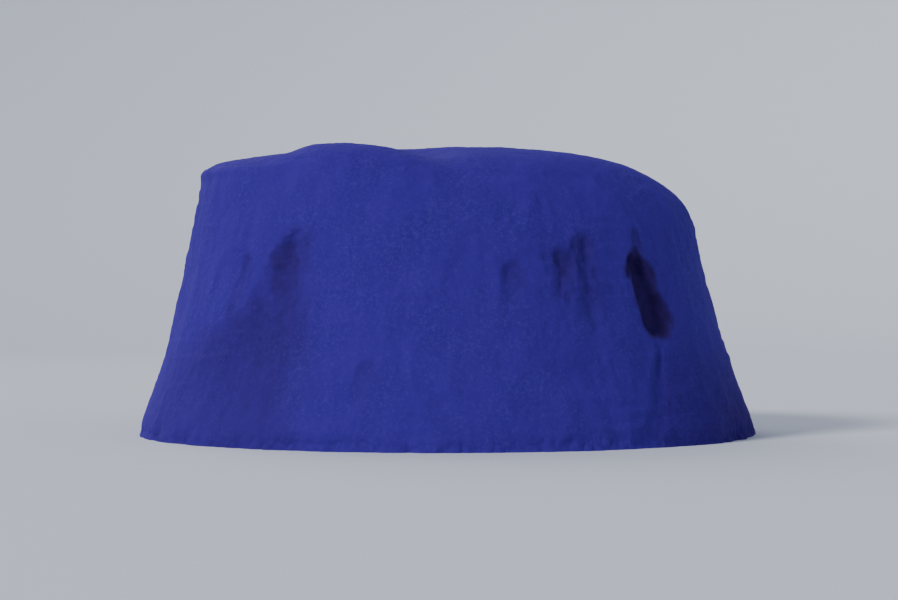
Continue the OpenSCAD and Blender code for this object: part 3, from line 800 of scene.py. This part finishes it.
def blocks_piece(name, shapes, n, material, node, radius, inset):
    """One piece of many rounded blocks, each given by its half sizes and a function from shares to points.

    Faces are drawn in by inset, and roughened by sawn lumps 90 mm across and crumbs 25 mm across. Where the
    function mirrors a block, its faces are turned round.
    """
    uvw, quads = box_skin(n)
    points, faces = [], []
    for k, (half, place) in enumerate(shapes):
        half = np.array(half)
        share = eased(uvw, half, radius) * (1 - inset / half)
        p = place(*(share.T + 1) / 2)
        normals, turned = mesh_normals(p, quads), quads
        if np.einsum("ij,ij->", p - p.mean(0), normals) < 0:
            normals, turned = -normals, quads[:, ::-1]
        cut = p + k * BLOCK_SHIFT
        lift = (SAWN_LUMPS * (lumps(cut, LUMP_CELL) - LUMPS_BACK)
                + SAWN_LUMPS * CRUMB_SHARE * grains(cut, CRUMB_CELL))
        p = p + normals * lift[:, None]
        p[:, 2] = np.maximum(p[:, 2], 0)
        points.append(p)
        faces.append(turned + k * len(uvw))
    return piece(name, np.concatenate(points), np.concatenate(faces).tolist(), material, [node])


def section_point(number, v, w):
    """(radius, height) in a course's section: v from the room to the coat, w from lower to upper joint."""
    low, high = (number - 1) * COURSE_ANGLE, number * COURSE_ANGLE
    inner_low, inner_high = on_ray(low, room_ray(low)), on_ray(high, room_ray(high))
    outer_low, outer_high = BED_JOINTS[number - 1], BED_JOINTS[number]
    lower = inner_low[:, None] + (outer_low - inner_low)[:, None] * v
    upper = inner_high[:, None] + (outer_high - inner_high)[:, None] * v
    return lower + (upper - lower) * w


def over_arch(number, b, v, w):
    """Shares w of a block's height, squeezed into what is left over the arch, by repeated substitution."""
    foot, head = section_point(number, v, 0 * w)[1], section_point(number, v, 0 * w + 1)[1]
    cut = 0 * w
    for _ in range(8):
        x = section_point(number, v, cut)[0] * np.cos(np.radians(b))
        share = np.clip((arch_top(x) - foot) / (head - foot), 0, MOST_CUT)
        cut = np.where(np.abs(x) < LINING_REACH, share, 0)
    return cut + (1 - cut) * w


def course(number):
    """One course of leaning blocks. The lining cuts the ends of courses 1 and 2 and the foot of course 3."""
    outer_low, outer_high = BED_JOINTS[number - 1], BED_JOINTS[number]
    count = max(4, round(2 * math.pi * outer_low[0] / BLOCK_LENGTH))
    beside, above = number <= 2, number == 3
    if beside:
        turn = math.degrees(math.asin(LINING_REACH / outer_high[0])) - 1
        start, end, count = DOORWAY + turn, DOORWAY + 360 - turn, count - 1
    else:
        start = DOORWAY - (number % 2) * 180 / count
        end = start + 360
    pitch = (end - start) / count
    gap = math.degrees(BLOCK_JOINT / outer_low[0])
    height = float(np.linalg.norm(outer_high - outer_low))
    shapes = []
    for k in range(count):
        b0, b1 = start + k * pitch + gap / 2, start + (k + 1) * pitch - gap / 2
        length = math.radians(b1 - b0) * float(outer_low[0] + outer_high[0]) / 2

        def place(u, v, w, b0=b0, b1=b1, k=k):
            if beside:
                r, z = section_point(number, v, w)
                low = np.maximum(b0, DOORWAY + arch_turn(r, z)) if k == 0 else b0
                high = np.minimum(b1, DOORWAY + 360 - arch_turn(r, z)) if k == count - 1 else b1
                return polar(r, low + (high - low) * u, z)
            b = b0 + (b1 - b0) * u
            if above and k in (0, 1, count - 1):
                w = over_arch(number, b, v, w)
            r, z = section_point(number, v, w)
            return polar(r, b, z)

        shapes.append(((length / 2, BLOCK / 2, height / 2), place))
    name = f"block_course_{number}"
    return blocks_piece(name + "_blocks", shapes, BLOCK_CELLS, SAWN, name,
                        BLOCK_ROUND, BLOCK_INSET)


for number in range(1, COURSES + 1):
    course(number)


def king_block(cols=96, side=12, shrink=0.985):
    """The closing block: a closed profile turned about the upright axis, roughened towards that axis.

    The profile is the room's face, the sloping joint, the face under the crown and the vent's bore, with side
    points along each, shrunk about its middle so that the joints show.
    """
    a = COURSES * COURSE_ANGLE
    corners = [np.array([VENT, room_ray(90)]), on_ray(a, room_ray(a)),
               on_ray(a, room_ray(a) + BLOCK), np.array([VENT, room_ray(90) + BLOCK])]
    steps = np.linspace(0, 1, side + 1)[:-1, None]
    profile = np.concatenate([here + (there - here) * steps
                              for here, there in zip(corners, corners[1:] + corners[:1])])
    middle = profile.mean(0)
    profile = middle + (profile - middle) * shrink
    p = polar(profile[:, :1], np.arange(cols) * 360 / cols, profile[:, 1:])
    k = 1 - KING_LUMPS * (lumps(p, LUMP_CELL) + 1) - KING_CRUMBS * grains(p, CRUMB_CELL)
    p = np.stack([p[..., 0] * k, p[..., 1] * k, p[..., 2]], -1)
    index = ring_index(len(profile), cols)
    faces = quads_of(np.concatenate([index, index[:1]])).tolist()
    return piece("king_block_snow", p.reshape(-1, 3), faces, SAWN, ["king_block"])


king_block()

# ---------------------------------------------------------------- doorway
# Each course of the lining is two blocks deep. Shares of its depth at which they part, which alternate
JAMB_SPLITS, ARCH_SPLITS = (0.42, 0.6), (0.58, 0.42)
# Rough depths of the jambs and the arch, and the width of a wedge block, from which their edges are rounded
JAMB_DEPTH, ARCH_DEPTH, WEDGE_WIDTH = 0.78, 0.70, 0.26
# How far the lining's lumps stay inside its outer end
LINING_BACK = 0.004


def lining_ends(x, z):
    """Front and rear end of the lining at x and z: from proud of the room's face to proud of the coat.

    The room's radius at height z is found on its rays by repeated substitution.
    """
    a = np.degrees(np.arctan2(z, ROOM_RADIUS))
    for _ in range(6):
        a = np.degrees(np.arctan2(z, room_ray(a) * np.cos(np.radians(a))))
    inner = room_ray(a) * np.cos(np.radians(a)) - LINING_PROUD
    outer = batter_radius(DOORWAY, z) + LINING_PROUD - LINING_BACK
    return np.sqrt(inner ** 2 - x * x), np.sqrt(outer ** 2 - x * x)


def lining_pair(section, width, depth, height, split):
    """Two blocks of the lining, one behind the other, that part at the share split of the depth.

    section turns shares u and w into x and z. The sizes are those that the edges are rounded by.
    """
    shapes = []
    for near, far in ((0, split), (split, 1)):
        def place(u, v, w, near=near, far=far):
            x, z = section(u, w)
            front, rear = lining_ends(x, z)
            return np.stack([x, front + (rear - front) * (near + (far - near) * v), z], -1)
        shapes.append(((width / 2, depth * (far - near) / 2, height / 2), place))
    return shapes


def lining_piece(name, shapes, n):
    """A piece of the doorway's lining, from its blocks."""
    return blocks_piece(name + "_blocks", shapes, n, TRIMMED, name,
                        LINING_ROUND, LINING_INSET)


def jamb(side, name):
    """A doorway jamb of two courses of trimmed blocks. side is -1 for the one towards -X, 1 for the other."""
    thick = LINING_REACH - ARCH
    shapes = []
    for k, split in enumerate(JAMB_SPLITS):
        def section(u, w, k=k):
            return side * (ARCH + thick * u), SPRING * (k / 2 + w / 2)
        shapes += lining_pair(section, thick, JAMB_DEPTH, SPRING / 2, split)
    return lining_piece(name, shapes, JAMB_CELLS)


jamb(-1, "doorway_left_jamb")
jamb(1, "doorway_right_jamb")


def arch():
    """The arch of wedge blocks over the doorway: u runs round the half circle and w out from the opening."""
    thick = LINING_REACH - ARCH
    shapes = []
    for k in range(VOUSSOIRS):
        def section(u, w, k=k):
            t, radius = np.radians((k + u) * (180 / VOUSSOIRS)), ARCH + thick * w
            return radius * np.cos(t), SPRING + radius * np.sin(t)
        shapes += lining_pair(section, WEDGE_WIDTH, ARCH_DEPTH, thick, ARCH_SPLITS[k % 2])
    return lining_piece("doorway_arch", shapes, WEDGE_CELLS)


arch()

# ---------------------------------------------------------------- studio
# The floor: flat to FLOOR_REACH, then a quarter circle of radius FLOOR_BEND up
FLOOR_REACH, FLOOR_BEND, FLOOR_COLS = 32, 14, 128


def cove():
    """Plain pale floor that turns up far behind: the profile turned about the upright axis."""
    turn = np.linspace(0, math.pi / 2, 17)
    r = np.concatenate([[0.01, 3, 8, 16, 24], FLOOR_REACH + FLOOR_BEND * np.sin(turn)])
    z = np.concatenate([np.zeros(5), FLOOR_BEND * (1 - np.cos(turn))])
    p = polar(r[:, None], np.arange(FLOOR_COLS) * 360 / FLOOR_COLS, z[:, None])
    faces = quads_of(ring_index(len(r), FLOOR_COLS), flip=True)
    mesh = bpy.data.meshes.new("studio_floor")
    mesh.from_pydata(p.reshape(-1, 3).tolist(), [], faces.tolist())
    mesh.polygons.foreach_set("use_smooth", np.ones(len(mesh.polygons), bool))
    made = bpy.data.materials.new("pale_floor")
    made.use_nodes = True
    shader = made.node_tree.nodes["Principled BSDF"]
    shader.inputs["Base Color"].default_value = linear("#D9DCE2")
    shader.inputs["Roughness"].default_value = 0.9
    mesh.materials.append(made)
    obj = bpy.data.objects.new("studio_floor", mesh)
    bpy.context.scene.collection.objects.link(obj)


cove()


def aim(obj, at):
    """Points a lamp or camera at a place."""
    obj.rotation_euler = (Vector(at) - obj.location).to_track_quat("-Z", "Y").to_euler()


def sun(name, bearing, elevation, strength, spread, code):
    """A soft lamp as broad as spread degrees, which lights the igloo and the floor alike."""
    data = bpy.data.lights.new(name, "SUN")
    data.energy, data.angle, data.color = strength, math.radians(spread), linear(code)[:3]
    obj = bpy.data.objects.new(name, data)
    obj.location = 20 * polar(math.cos(math.radians(elevation)), bearing, math.sin(math.radians(elevation)))
    bpy.context.scene.collection.objects.link(obj)
    aim(obj, (0, 0, 0))


# The key stands on the left, where the photograph's sky is bright. Weak ones fill the front and the rear
sun("key", bearing=206, elevation=34, strength=2.3, spread=15, code="#FFFFFF")
sun("fill", bearing=300, elevation=30, strength=0.35, spread=60, code="#E8EEFF")
sun("rear", bearing=105, elevation=38, strength=0.9, spread=40, code="#FFFFFF")

AIR_COLOUR, AIR_STRENGTH = "#CBD6F2", 0.42
world = bpy.data.worlds.new("studio_air")
bpy.context.scene.world = world
world.use_nodes = True
world.node_tree.nodes["Background"].inputs["Color"].default_value = linear(AIR_COLOUR)
world.node_tree.nodes["Background"].inputs["Strength"].default_value = AIR_STRENGTH

# The camera stands where the photograph was taken from, 15 m off and 0.9 m up, but with a longer lens
CAMERA_PLACE, CAMERA_AIM, LENS = (-3.52, -14.975, 0.908), (0.0, 0.0, 1.02), 80
camera = bpy.data.objects.new("camera", bpy.data.cameras.new("camera"))
camera.data.lens = LENS
camera.location = CAMERA_PLACE
bpy.context.scene.collection.objects.link(camera)
aim(camera, CAMERA_AIM)
bpy.context.scene.camera = camera

# ---------------------------------------------------------------- update the view layer
bpy.context.view_layer.update()
